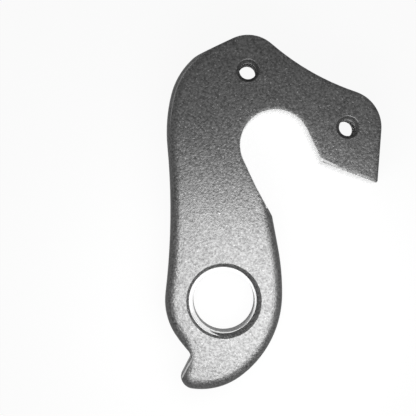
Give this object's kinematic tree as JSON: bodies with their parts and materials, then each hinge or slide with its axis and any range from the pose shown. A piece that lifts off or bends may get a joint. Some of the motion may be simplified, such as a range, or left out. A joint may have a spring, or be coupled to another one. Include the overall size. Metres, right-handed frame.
{
  "type": "bicycle derailleur hanger",
  "caption": "Flat hooked metal plate that screws to a bicycle frame round the rear axle and carries the rear derailleur in a threaded bore.",
  "frame": {"origin": "on the axis of the derailleur bore, at the flat inboard face", "axes": "+Z out of the outboard face along the derailleur bore, +Y up the hanger away from its tail, +X towards the hook"},
  "size_m": [0.0315, 0.0516, 0.007],
  "materials": {
    "anodised_aluminium": "bead-blasted and dark anodised, with bare machined metal in the derailleur bore and on the walls of the axle slot"
  },
  "bodies": {
    "root": {"hanger": "anodised_aluminium"}
  },
  "joints": []
}
